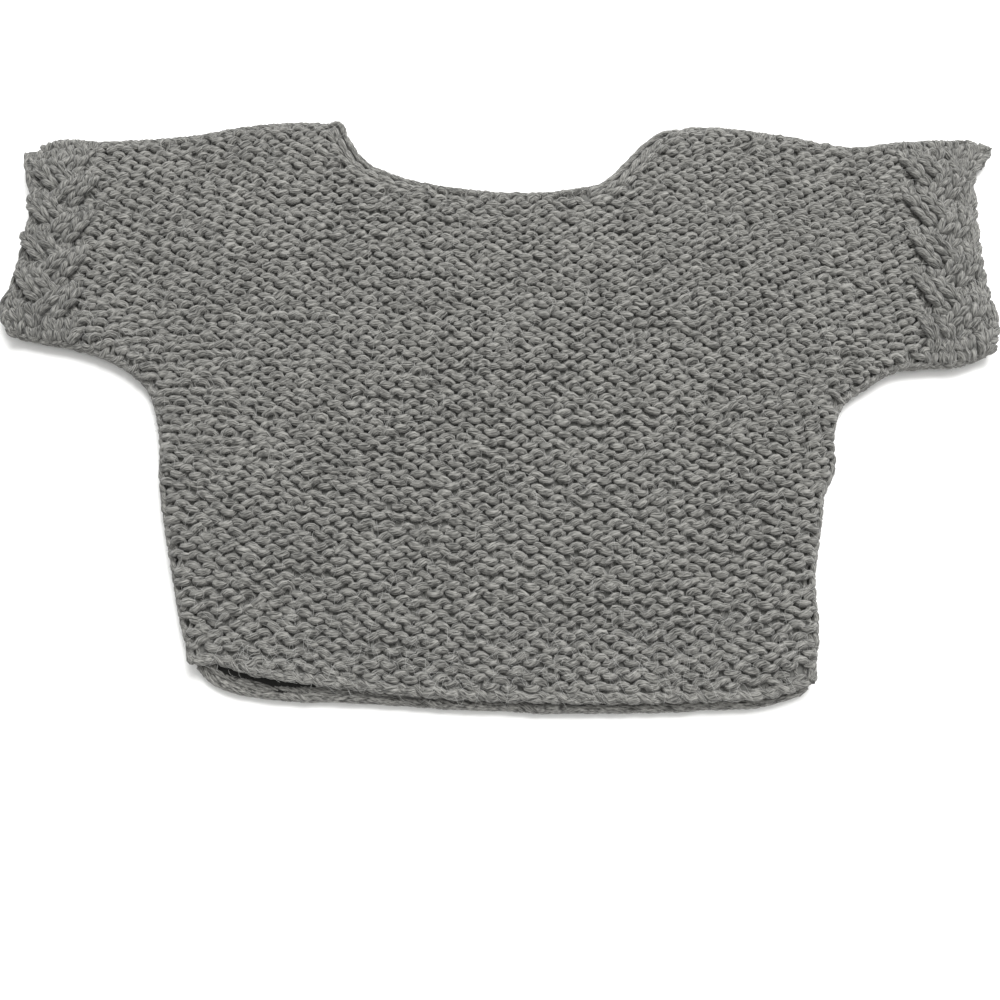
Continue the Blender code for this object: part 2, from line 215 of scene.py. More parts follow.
class Layer:
    """One layer of the garment. Flat points are carried round its edges."""

    def __init__(self, back):
        self.facing = -1.0 if back else 1.0
        points = [(row[1], row[3] if back else row[2]) for row in EDGE]
        self.runs = curve_through(points, closed=True)
        loop = np.vstack(self.runs)
        self.edge = evenly(np.vstack([loop, loop[:1]]), EDGE_STEP)[:-1]
        slope = np.roll(self.edge, -2, axis=0) - np.roll(self.edge, 2, axis=0)
        slope /= np.linalg.norm(slope, axis=1)[:, None]
        self.inward = np.column_stack([-slope[:, 1], slope[:, 0]])
        self.free = np.vstack([
            self.between("hem corner left", "hem corner right"),
            self.between("neck corner right", "neck corner left"),
            self.between("cuff end right, under", "cuff end right, top"),
            self.between("cuff end left, top", "cuff end left, under"),
        ])

    def between(self, start, end):
        """The edge from one place to another, anticlockwise."""
        i, stop = PLACES.index(start), PLACES.index(end)
        parts = []
        while i != stop:
            parts.append(self.runs[i])
            i = (i + 1) % len(PLACES)
        return np.vstack(parts + [self.runs[stop][:1]])

    def depth(self, flat):
        """How far inside the edge each flat point lies, and the way inward."""
        i, _ = nearest(flat, self.edge)
        inward = self.inward[i]
        return ((flat - self.edge[i]) * inward).sum(axis=1), inward

    def inset(self, path, by):
        """The flat path moved so that it runs this far inside the edge."""
        depth, inward = self.depth(path)
        return path + inward * (by - depth)[:, None]

    def place(self, flat, lift):
        """Points on the wall's middle moved out by a lift, and the way out."""
        depth, inward = self.depth(flat)
        _, to_free = nearest(flat, self.free)
        free = smooth(1.0 - to_free / FREE_REACH)
        turn = np.clip((depth - SEAM_AT) / (EDGE_ROUND - SEAM_AT), -1, 1) * math.pi / 2
        flat_part = EDGE_ROUND - WALL / 2
        kept = WALL / 2 + flat_part * (1 - np.cos(turn))
        shift = np.where(depth < EDGE_ROUND, kept - depth, 0.0) * (1 - free)
        rise = HALF * (np.sin(turn) * (1 - free) + free)
        rise = rise - free * FREE_DROP * np.clip(1 - depth / 6, 0, 1) ** 2
        # The way out goes round a sewn or folded edge, and nearly straight up by a free one.
        aside = np.cos(turn) / flat_part * (1 - free) + free * 0.05
        up = np.sin(turn) / HALF * (1 - free) + free * 0.22
        out = np.column_stack([-inward * aside[:, None], self.facing * up])
        out /= np.linalg.norm(out, axis=1)[:, None]
        height = MIDDLE + self.facing * rise
        if self.facing > 0:
            height = height + front_relief(flat)
        middle = np.column_stack([flat + inward * shift[:, None], height])
        drawn_in = DRAWN_IN * (1 - free) * smooth((5.0 - depth) / 7.0)
        return middle + out * (np.asarray(lift) - drawn_in)[:, None], out


def front_relief(flat):
    """How much the front's middle is raised or sunk where the cloth gives."""
    relief = np.zeros(len(flat))
    for x1, y1, x2, y2, deep, half_width in HOLLOWS:
        start, run = np.array((x1, y1)), np.array((x2 - x1, y2 - y1))
        share = np.clip((flat - start) @ run / (run @ run), 0, 1)
        away = np.linalg.norm(flat - start - share[:, None] * run, axis=1)
        relief -= deep * np.exp(-((away / half_width) ** 2))
    away = (flat - np.array(HEM_LIFT_AT)) / np.array(HEM_LIFT_REACH)
    return relief + HEM_LIFT * np.exp(-(away**2).sum(axis=1))


BACK, FRONT = Layer(back=True), Layer(back=False)
NECK_LINE = np.vstack(curve_through(NECK_SEAM) + [[NECK_SEAM[-1]]])


def cloth_loop(layer, left, right, around_neck):
    """The flat edge of a cloth between two lines across the sleeves."""
    loop = layer.edge + layer.inward * SEAM_AT
    loop = loop[(loop[:, 0] > left) & (loop[:, 0] < right)][::10]
    if around_neck:
        middle = (loop[:, 0] > NECK_SEAM[-1][0]) & (loop[:, 0] < NECK_SEAM[0][0])
        neck = middle & (loop[:, 1] > 120)
        first = np.flatnonzero(neck)[0]
        loop = np.vstack([
            loop[:first], evenly(NECK_LINE, 6.0), loop[first:][~neck[first:]]
        ])
    return loop


def area_of(loop):
    """The area inside a flat loop, in square metres."""
    x, y = loop[:, 0], loop[:, 1]
    return abs(np.dot(x, np.roll(y, -1)) - np.dot(y, np.roll(x, -1))) / 2 * MM * MM


def add_map(mesh, name, values):
    """A UV map from one pair of values per corner of a face."""
    layer = mesh.uv_layers.new(name=name)
    layer.data.foreach_set("uv", values.astype(np.float32).ravel())


def in_scene(name, data):
    """A new object that shows this mesh, light or camera."""
    thing = bpy.data.objects.new(name, data)
    bpy.context.scene.collection.objects.link(thing)
    return thing


def cloth(name, layer, loop, sink, step, raised=None):
    """A thin skin over a flat loop, sunk under the middle of the wall."""
    low, high = loop.min(axis=0), loop.max(axis=0)
    x, y = (np.arange(low[k] + step / 2, high[k], step) for k in (0, 1))
    grid = np.stack(np.meshgrid(x, y), axis=-1).reshape(-1, 2)
    grid = grid[is_inside(grid, loop)]
    grid = grid[nearest(grid, loop)[1] > step * 0.6]
    points = [Vector(p) for p in np.vstack([loop, grid])]
    found = delaunay_2d_cdt(points, [], [list(range(len(loop)))], 1, 1e-4)
    flat = np.array([tuple(p) for p in found[0]])
    lift = np.full(len(flat), -float(sink))
    if raised:
        lift = lift + raised(flat)
    placed, _ = layer.place(flat, lift)
    faces = [tuple(face) for face in found[2]]
    if layer.facing < 0:
        faces = [face[::-1] for face in faces]
    mesh = bpy.data.meshes.new(name)
    mesh.from_pydata([tuple(p * MM) for p in placed], [], faces)
    mesh.shade_smooth()
    corners = np.zeros(len(mesh.loops), np.int32)
    mesh.loops.foreach_get("vertex_index", corners)
    low, high = flat.min(axis=0), flat.max(axis=0)
    add_map(mesh, "OFBake", ((flat - low) / (high - low))[corners])
    return in_scene(name, mesh)


def shader(name, roughness):
    """A new material, its nodes and its Principled shader."""
    material = bpy.data.materials.new(name)
    material.use_nodes = True
    main = material.node_tree.nodes["Principled BSDF"]
    main.inputs["Roughness"].default_value = roughness
    main.inputs["Specular IOR Level"].default_value = 0.25
    return material, material.node_tree.nodes, material.node_tree.links, main


def painted_shade_material(name, dark, light):
    """The inside of the stitches, a dull dark grey with soft patches: painted shade."""
    material, nodes, links, main = shader(name, 1.0)
    place = nodes.new("ShaderNodeTexCoord")
    patches = nodes.new("ShaderNodeTexNoise")
    patches.inputs["Scale"].default_value = 420.0
    patches.inputs["Detail"].default_value = 3.0
    shades = nodes.new("ShaderNodeValToRGB")
    shades.color_ramp.elements[0].color = (dark, dark, dark * 0.94, 1)
    shades.color_ramp.elements[1].color = (light, light, light * 0.94, 1)
    links.new(place.outputs["Object"], patches.inputs["Vector"])
    links.new(patches.outputs["Fac"], shades.inputs["Fac"])
    links.new(shades.outputs["Color"], main.inputs["Base Color"])
    return material


# The skin under the stitches has the yarn's grey, painted darker as painted shade in the gaps
# between the bumps.
INSIDE_PAINTED_SHADE = painted_shade_material("inside_of_stitches_painted_shade", 0.065, 0.180)
# The back's skin is painted near black: painted shade inside the back and in the gap under the
# front's hem.
BACK_PAINTED_SHADE = painted_shade_material("inside_of_back_painted_shade", 0.006, 0.030)
CUFF_LEFT, CUFF_RIGHT = -310.0, 294.0   # the lines where the cuffs begin
PANEL_SUNK, PANEL_STEP = 1.4, 7.0       # depth and mesh size of a panel's skin


def panel_cloth(name, layer, material, raised=None):
    """A panel's skin from cuff to cuff and up to the neck edge, and its flat area."""
    loop = cloth_loop(layer, CUFF_LEFT, CUFF_RIGHT, around_neck=True)
    piece = cloth(name, layer, loop, PANEL_SUNK, PANEL_STEP, raised)
    piece.data.materials.append(material)
    return piece, area_of(loop)


def inside_by_hem(flat):
    """Near its hem the back's skin covers the legs of its stitches."""
    near = smooth((BACK.depth(flat)[0] - 8.0) / 3.0) * smooth((-184.0 - flat[:, 1]) / 8.0)
    return -2.9 * near


back_cloth, back_area = panel_cloth("back_cloth", BACK, BACK_PAINTED_SHADE, inside_by_hem)
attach(back_cloth, "root")
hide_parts("back")


# The back's stitches. Reverse stockinette: each row is one strand of yarn, bent
# into loops through the row below, and the bumps of the loops lie outward. The
# rows run from side seam to side seam, and the back's lean over its shoulder.
STITCH = 12.7              # width of a stitch
LOOP_LEAN = STITCH / 5.4   # how far the legs of a loop lean in under its bump
LOOP_TALL = 1.5            # height of a loop, in rows
LOOP_DEEP = 2.1            # how far the bumps stand out and the legs lie back
LOOP_SUNK = 0.15           # how much deeper the whole stitch lies
BUMP_SHORT = 2.3           # above 1, the bumps are shorter than the legs
FLATTER = 0.08             # how much flatter the loops are at top and bottom
YARN = 2.35                # half thickness of the yarn
FATTER = 0.50              # how much fatter the yarn is on a bump

# How uneven the hand is: along the row, up and down, in the lean of a bump, in
# its height and in its yarn, and how far a whole row wanders.
LOOSE_ALONG, LOOSE_UP, LOOSE_LEAN = 0.85, 0.5, 0.8
LOOSE_LIFT, LOOSE_YARN, WANDER = 0.35, 0.22, 0.35

# How far inside the edge the yarn is held, at the hem, the neck and the folds.
HELD_AT_HEM, HELD_AT_NECK, HELD_AT_FOLD = 4.2, 4.6, 2.2

# How wide a stitch is, by where it lies. Columns: y, share of the stitch.
STITCH_SHARES = ((-220, 1.02), (-60, 0.99), (30, 0.955), (100, 0.925), (226, 0.875))

# Height of a row, by where it lies. Columns: y, row height.
ROW_HEIGHTS = ((-230, 8.3), (-90, 8.4), (0, 8.5), (70, 8.1), (110, 7.7), (240, 7.7))

# How the rows bend, at the hem, at mid-height and at the top.
# Columns: x, shape at the hem, shape in the middle, shape at the top.
ROW_SHAPES = (
    (-330, 28, -17, -17),
    (-310, 27, -15, -17),
    (-241, 22.5, -6.5, -11.5),
    (-206, 19.5, -2, -4),
    (-165, 15.5, 0, 1),
    (-112, 9.5, 0, 3),
    (-39, 3, 0, -1),
    (44, -1, 0, -4),
    (121, 0.5, 0, -3),
    (165, 3.5, 0, -3.5),
    (206, 7, -2, -9.5),
    (241, 10, -6.5, -16),
    (267, 12, -10, -20.5),
    (294, 14, -14, -17.5),
    (320, 15, -17, -17.5),
)
# The y of the hem, of the rows that still bend as it does, of those that bend
# as in the middle, and of the top.
HEM_LEVEL, SHAPED_BELOW, LEVEL_AT, TOP_LEVEL = -222.0, -84.0, 73.0, 226.0


def shape_column(k):
    """One column of the row shapes as a smooth line, as its x and its values."""
    line = np.vstack(curve_through([(row[0], row[k]) for row in ROW_SHAPES]))
    return line[:, 0], line[:, 1]


SHAPES = [shape_column(k) for k in (1, 2, 3)]


def row_line(level, x):
    """The height of a row at each x."""
    hem, middle, top = (np.interp(x, *shape) for shape in SHAPES)
    low = np.clip((LEVEL_AT - level) / (LEVEL_AT - SHAPED_BELOW), 0, 1)
    high = np.clip((level - LEVEL_AT) / (TOP_LEVEL - LEVEL_AT), 0, 1)
    return level + hem * low + middle * (1 - low) * (1 - high) + top * high


def row_levels(first, last):
    """The levels of the rows from the hem up."""
    levels = [first]
    while levels[-1] < last:
        y, tall = zip(*ROW_HEIGHTS)
        levels.append(levels[-1] + np.interp(levels[-1], y, tall))
    return np.array(levels)


# Rows are counted up to just under the last one, then spread to fill the height.
FIRST_ROW, LAST_ROW = HEM_LEVEL + 7.2, TOP_LEVEL - 6.1
LEVELS = row_levels(FIRST_ROW, LAST_ROW - 2.9)
LEVELS = FIRST_ROW + (LEVELS - LEVELS[0]) * (
    (LAST_ROW - FIRST_ROW) / (LEVELS[-1] - LEVELS[0])
)
# The x of the neck's middle, and the strip that its edge takes up.
NECK_MIDDLE = -4.0
NECK_STRIP = np.vstack([
    NECK_LINE, FRONT.between("neck seam right", "neck seam left")[::-1] + (0, 12)
])


def stretches(inside):
    """Where each unbroken stretch of a line starts and stops."""
    ends = np.flatnonzero(np.diff(np.concatenate([[0], inside, [0]]).astype(int)))
    return zip(ends[::2], ends[1::2])


def strands_of_row(layer, number, per_stitch, rng):
    """One row of stitches: a strand for each stretch of it inside the panel."""
    level = LEVELS[number]
    tall = np.interp(level, *zip(*ROW_HEIGHTS)) * LOOP_TALL
    wide = np.interp(level, *zip(*STITCH_SHARES))
    x = np.arange(CUFF_LEFT - 9.0, CUFF_RIGHT + 9.0, 1.0)
    line = np.column_stack([x, row_line(level, x)])
    inside = (layer.depth(line)[0] > SEAM_AT + 1.2) & is_inside(line, layer.edge)
    # The rows end at the neck edge, and at the neck's bottom they reach in under it.
    under_neck = np.interp(np.abs(x - NECK_MIDDLE), (52, 78), (8.0, 2.0))
    inside &= ~is_inside(line - np.column_stack([0 * x, under_neck]), NECK_STRIP)
    sway = rng.uniform(0, math.tau, 3)
    strands = []
    for start, stop in stretches(inside):
        if stop - start < STITCH + 1:
            continue
        first, last = (x[k] / (STITCH * wide) * math.tau for k in (start, stop - 1))
        count = round((last - first) / math.tau * per_stitch)
        even = np.linspace(first, last, count)
        t = even - 0.15 * np.sin(2 * even)   # more points where the loops bend
        # Each half stitch is loose in its own way, and one blends into the next.
        halves = t / math.pi
        base = int(halves[0]) - 2
        loose = rng.normal(size=(int(halves[-1]) - base + 4, 5))
        spot = halves - base
        share = smooth(spot % 1.0)[:, None]
        low = spot.astype(int)
        drift = loose[low] * (1 - share) + loose[low + 1] * share
        bump = np.round(spot).astype(int)
        lean = loose[bump, 3] * np.sin(2 * (spot - bump) * math.pi)
        # The loops as they lie flat, and how they rise and fall.
        across = STITCH * t / math.tau + LOOP_LEAN * np.sin(2 * t)
        across = across * wide + drift[:, 0] * LOOSE_ALONG
        wander = sum(np.sin(across / w + s) for w, s in zip((31, 17, 53), sway))
        bend = (np.cos(t) - FLATTER * np.cos(3 * t)) / (1 - FLATTER)
        up = -tall / 2 * bend * layer.facing + wander * WANDER
        up += drift[:, 1] * LOOSE_UP + lean * LOOSE_LEAN
        flat = np.column_stack([across, row_line(level, across) + up])
        lift = LOOP_DEEP * (2 * np.abs(np.cos(t)) ** BUMP_SHORT - 1) - LOOP_SUNK
        # No loop hangs over the edge, and the bumps lie lower where the cloth folds.
        depth, inward = layer.depth(flat)
        by_neck = (np.abs(flat[:, 0]) < 110) & (flat[:, 1] > 120)
        held_at = np.where(by_neck, HELD_AT_NECK, HELD_AT_FOLD)
        held_at = np.where(flat[:, 1] < -150, HELD_AT_HEM, held_at)
        flat += inward * np.maximum(held_at - depth, 0)[:, None]
        by_fold = ~by_neck & (flat[:, 1] > -190)
        lift *= 1 - 0.6 * by_fold * smooth((8.0 - depth) / 6.0)
        # Past the cuff's line the row dips in under the cuff, and each end thins out.
        beyond = np.maximum(CUFF_LEFT - across, across - CUFF_RIGHT)
        lift += drift[:, 2] * LOOSE_LIFT - 0.25 * np.maximum(beyond, 0)
        thick = YARN + FATTER * np.cos(2 * t) + LOOSE_YARN * drift[:, 4]
        fade = np.minimum(np.arange(count), np.arange(count)[::-1])
        thick *= np.interp(fade, (0, 1, 2), (0.35, 0.8, 1.0))
        lift -= np.interp(fade, (0, 1, 2), (1.5, 0.6, 0.0))
        points, out = layer.place(flat, lift)
        strands.append((points, out, thick))
    return strands


def tubes(name, strands, sides, floor=None):
    """Round yarn along each strand, closed at its ends, in one mesh."""
    points = np.vstack([s[0] for s in strands])
    out = np.vstack([s[1] for s in strands])
    thick = np.concatenate([s[2] for s in strands])
    counts = np.array([len(s[0]) for s in strands])
    starts = np.concatenate([[0], np.cumsum(counts)[:-1]])
    stops = starts + counts - 1
    step = np.linalg.norm(np.diff(points, axis=0), axis=1)
    step[stops[:-1]] = 2.0
    along = np.concatenate([[0.0], np.cumsum(step)])
    slope = np.gradient(points, axis=0)
    slope[starts] = points[starts + 1] - points[starts]
    slope[stops] = points[stops] - points[stops - 1]
    slope /= np.linalg.norm(slope, axis=1)[:, None]
    side = np.cross(slope, out)
    side /= np.linalg.norm(side, axis=1)[:, None] + 1e-9
    upward = np.cross(side, slope)
    angle = math.tau * np.arange(sides) / sides + math.pi
    ring = np.cos(angle)[:, None] * upward[:, None] + np.sin(angle)[:, None] * side[:, None]
    skin = (points[:, None] + ring * thick[:, None, None]).reshape(-1, 3)
    if floor is not None:
        skin[:, 2] = np.maximum(skin[:, 2], floor)
    here = np.setdiff1d(np.arange(len(points)), stops)
    k = np.arange(sides)
    corner = here[:, None] * sides
    quads = np.stack(
        [corner + k, corner + (k + 1) % sides, corner + sides + (k + 1) % sides,
         corner + sides + k], axis=-1).reshape(-1, 4)
    caps = np.vstack([starts[:, None] * sides + k[::-1], stops[:, None] * sides + k])
    corners = np.concatenate([quads.ravel(), caps.ravel()])
    quad_starts = np.arange(len(quads)) * 4
    cap_starts = len(quads) * 4 + np.arange(len(caps)) * sides
    mesh = bpy.data.meshes.new(name)
    mesh.vertices.add(len(skin))
    mesh.vertices.foreach_set("co", (skin * MM).astype(np.float32).ravel())
    mesh.loops.add(len(corners))
    mesh.loops.foreach_set("vertex_index", corners.astype(np.int32))
    mesh.polygons.add(len(quads) + len(caps))
    mesh.polygons.foreach_set(
        "loop_start", np.concatenate([quad_starts, cap_starts]).astype(np.int32))
    mesh.update(calc_edges=True)
    # Two maps: the yarn's own length and way round, and one laid out for baking.
    round_the_yarn = np.concatenate([
        np.tile(np.stack([k, k + 1, k + 1, k], axis=-1).ravel() / sides, len(here)),
        np.full(caps.size, 0.5),
    ])
    point = corners // sides
    add_map(mesh, "yarn", np.column_stack([along[point] * 0.1, round_the_yarn]))
    owner = np.concatenate([
        np.repeat(here, sides * 4), np.repeat(starts, sides), np.repeat(stops, sides)])
    shelf = math.sqrt(along[-1] * math.tau * thick.mean()) + 8.0
    rows = math.floor(along[-1] / shelf) + 1
    row = np.floor(along[owner] / shelf)
    u = (along[point] - row * shelf) / (shelf + 8.0)
    v = (row + 0.03 + 0.94 * round_the_yarn) / rows
    add_map(mesh, "OFBake", np.column_stack([u, v]))
    mesh.validate()
    mesh.shade_smooth()
    return in_scene(name, mesh)


def heather_group():
    """Fibres of many greys drawn along a softly twisted yarn.

    In: two greys, the twist in turns a centimetre and how strong the fibres
    stand out. Out: the colour, the roughness and the normal.
    """
    group = bpy.data.node_groups.new("heather_fibres", "ShaderNodeTree")
    face = group.interface
    for name, kind, value in (
        ("Light grey", "NodeSocketColor", (0.36, 0.36, 0.345, 1)),
        ("Dark grey", "NodeSocketColor", (0.13, 0.13, 0.122, 1)),
        ("Twist", "NodeSocketFloat", 0.18),
        ("Fibre relief", "NodeSocketFloat", 0.5),
    ):
        face.new_socket(name=name, in_out="INPUT", socket_type=kind).default_value = value
    for name, kind in (
        ("Color", "NodeSocketColor"), ("Roughness", "NodeSocketFloat"),
        ("Normal", "NodeSocketVector"),
    ):
        face.new_socket(name=name, in_out="OUTPUT", socket_type=kind)
    nodes, links = group.nodes, group.links
    given = nodes.new("NodeGroupInput")
    result = nodes.new("NodeGroupOutput")

    def number(operation, a, b=None):
        node = nodes.new("ShaderNodeMath")
        node.operation = operation
        for socket, value in zip(node.inputs, (a, b)):
            if isinstance(value, (int, float)):
                socket.default_value = value
            elif value is not None:
                links.new(value, socket)
        return node.outputs[0]

    def noise(vector, scale, detail):
        node = nodes.new("ShaderNodeTexNoise")
        node.inputs["Scale"].default_value = scale
        node.inputs["Detail"].default_value = detail
        links.new(vector, node.inputs["Vector"])
        return node.outputs["Fac"]

    def around(u, angle, stretch, width):
        node = nodes.new("ShaderNodeCombineXYZ")
        links.new(number("MULTIPLY", u, stretch), node.inputs[0])
        links.new(number("MULTIPLY", number("COSINE", angle), width), node.inputs[1])
        links.new(number("MULTIPLY", number("SINE", angle), width), node.inputs[2])
        return node.outputs[0]

    place = nodes.new("ShaderNodeUVMap")
    place.uv_map = "yarn"
    split = nodes.new("ShaderNodeSeparateXYZ")
    links.new(place.outputs[0], split.inputs[0])
    u, v = split.outputs[0], split.outputs[1]
    turned = number("ADD", v, number("MULTIPLY", u, given.outputs["Twist"]))
    angle = number("MULTIPLY", turned, math.tau)
    # Broad locks and fine fibres, both drawn out along the twist of the yarn.
    locks = noise(around(u, angle, 0.8, 0.9), 1.0, 2.0)
    fibres = noise(around(u, angle, 2.8, 3.2), 1.0, 4.0)
    spot = nodes.new("ShaderNodeTexCoord")
    patches = noise(spot.outputs["Object"], 26.0, 2.0)
    mixed = number("ADD", number("MULTIPLY", locks, 0.25), fibres)
    mixed = number("ADD", mixed, number("MULTIPLY", patches, 0.08))
    share = nodes.new("ShaderNodeMapRange")
    share.inputs["From Min"].default_value = 0.53
    share.inputs["From Max"].default_value = 0.84
    links.new(mixed, share.inputs["Value"])
    grey = nodes.new("ShaderNodeMix")
    grey.data_type = "RGBA"
    links.new(share.outputs[0], grey.inputs["Factor"])
    links.new(given.outputs["Dark grey"], grey.inputs["A"])
    links.new(given.outputs["Light grey"], grey.inputs["B"])
    links.new(grey.outputs["Result"], result.inputs["Color"])
    links.new(number("ADD", number("MULTIPLY", fibres, -0.2), 1.0), result.inputs["Roughness"])
    relief = nodes.new("ShaderNodeBump")
    relief.inputs["Distance"].default_value = 0.0010
    links.new(given.outputs["Fibre relief"], relief.inputs["Strength"])
    links.new(number("ADD", fibres, number("MULTIPLY", locks, 0.7)), relief.inputs["Height"])
    links.new(relief.outputs[0], result.inputs["Normal"])
    return group


HEATHER = heather_group()


def yarn_material(name, light, dark, relief):
    """Matt, softly hairy yarn."""
    material, nodes, links, main = shader(name, 0.9)
    main.inputs["Sheen Weight"].default_value = 0.22
    main.inputs["Sheen Roughness"].default_value = 0.55
    fibres = nodes.new("ShaderNodeGroup")
    fibres.node_tree = HEATHER
    fibres.inputs["Light grey"].default_value = light
    fibres.inputs["Dark grey"].default_value = dark
    fibres.inputs["Fibre relief"].default_value = relief
    links.new(fibres.outputs["Color"], main.inputs["Base Color"])
    links.new(fibres.outputs["Roughness"], main.inputs["Roughness"])
    links.new(fibres.outputs["Normal"], main.inputs["Normal"])
    return material


BODY_YARN = yarn_material(
    "body_yarn", (0.292, 0.288, 0.269, 1), (0.035, 0.0345, 0.032, 1), 1.0)


def panel_stitches(name, layer, rows, per_stitch, sides, seed, floor=None):
    """Some rows of a panel's stitches, in one piece."""
    strands = []
    for number in rows:
        rng = np.random.default_rng(seed + number)
        strands += strands_of_row(layer, number, per_stitch, rng)
    piece = tubes(name, strands, sides, floor)
    piece.data.materials.append(BODY_YARN)
    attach(piece, "root")
    return piece


def bands(count):
    """The rows split into some bands of about the same number of stitches."""
    sleeves_from, sleeve_row, body_row = 10, 580.0, 430.0
    wide = np.cumsum(np.where(LEVELS > sleeves_from, sleeve_row, body_row))
    splits = np.searchsorted(wide, wide[-1] * np.arange(1, count) / count)
    return np.split(np.arange(len(LEVELS)), splits)


back_stitches = [
    panel_stitches(f"back_stitches_{k + 1}", BACK, rows, per_stitch=9, sides=6, seed=7000,
                   floor=0.0)
    for k, rows in enumerate(bands(2))
]


# The front's cloth and stitches. The front is the same knitting, seen in the
# photo from its purl side. Its rows sag to the middle at the hem and run down
# to the cuffs on the sleeves, and the hand that knitted it was a little uneven.
front_cloth, front_area = panel_cloth("front_cloth", FRONT, INSIDE_PAINTED_SHADE)
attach(front_cloth, "root")
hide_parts("front")
front_stitches = [
    panel_stitches(f"front_stitches_{k + 1}", FRONT, rows, per_stitch=13, sides=8, seed=3000)
    for k, rows in enumerate(bands(3))
]


# The cuffs. Each band is knitted in the same yarn with its right side out. Three
# strands, each of two columns of V stitches, cross over each other in a plait
# that runs round the arm, and more columns and a twisted cord firm up its end.
CUFF_STITCH = 11.2         # width of a V stitch
CUFF_ROW = 10.2            # height of a V stitch
CUFF_YARN_HALF = 2.75      # half thickness of its legs
COLUMNS = (-5.3, 5.3)      # the two columns, from the middle of their strand
SWING = 15.0               # how far a strand swings to each side
STRAND_HALF = 9.8          # half width of a strand
STRAND_DEEP = 4.8          # how far a strand bulges
STRAND_OVER = 3.8          # how far one strand rises to cross another
STRAIGHT_REACH = 26.0      # over this far the strands run out straight at each end
STRAIGHT_APART = 14.0      # spacing of the strands there
BETWEEN_STRANDS = -1.6     # height of the plain knitting between them

# Columns: side, middle of the plait, its first crossing, its pitch, way inward.
PLAITS = (("left", -334, 205, 31.5, 1), ("right", 318, 198, 36.0, -1))


# A leg of a V: where it starts and how long it is, in stitches, how far aside it
# starts and ends, in widths, how deep its ends sink, and how slim they are.
LEG_FROM, LEG_LONG, LEG_ASIDE, LEG_SPREAD = -0.68, 1.30, 0.06, 0.30
LEG_SUNK, LEG_SLIM, LEG_FAT = 3.0, 0.40, 0.65


def way_across(middle, out):
    """The way across a placed line, along the surface."""
    slope = np.gradient(middle, axis=0)
    slope /= np.linalg.norm(slope, axis=1)[:, None] + 1e-9
    return np.cross(slope, out)


def vees(layer, path, lift, wide, tall, thick, rng, rings=6):
    """The two legs of each V stitch along a flat path."""
    path = evenly(path, 1.0)
    lift = lift(path) if callable(lift) else np.full(len(path), lift)
    middle, out = layer.place(path, lift)
    along, side = run_of(middle), way_across(middle, out)
    count = round(along[-1] / tall)
    tall = along[-1] / count
    share = np.linspace(0, 1, rings)
    legs = []
    for i in range(count):
        for hand in (-1, 1):
            shake = rng.normal(size=5)
            spots = (i + 0.5) * tall + tall * (LEG_FROM + LEG_LONG * share) + shake[0] * 0.35
            at = np.stack([
                np.stack([np.interp(spots, along, line[:, k]) for k in range(3)], axis=1)
                for line in (middle, out, side)
            ])
            aside = hand * wide * (LEG_ASIDE + LEG_SPREAD * share**0.8) + shake[1] * 0.35
            swell = np.sin(math.pi * (0.07 + 0.86 * share))
            rise = -LEG_SUNK * (1 - swell) + shake[2] * 0.2
            points = at[0] + at[2] * aside[:, None] + at[1] * rise[:, None]
            radius = thick * (LEG_SLIM + LEG_FAT * swell) * (1 + 0.05 * shake[3])
            legs.append((points, at[1], radius))
    return legs


def twisted(layer, path, inset, yarn, swing, pitch, rng, lift=0.0):
    """Two strands of yarn twisted together along a line inside the edge."""
    path = evenly(path, 1.5)
    middle, out = layer.place(layer.inset(path, inset), np.full(len(path), lift))
    along, side = run_of(middle), way_across(middle, out)
    spots = np.arange(0, along[-1] + 30, 15.0)
    loose = np.interp(along, spots, rng.normal(size=len(spots)))
    strands = []
    for k in (0, 1):
        turn = math.tau * (along / pitch + k / 2 + 0.12 * loose)
        way = np.cos(turn)[:, None] * out + np.sin(turn)[:, None] * side
        strands.append((middle + way * swing, way, yarn * (1 + 0.09 * loose)))
    return strands


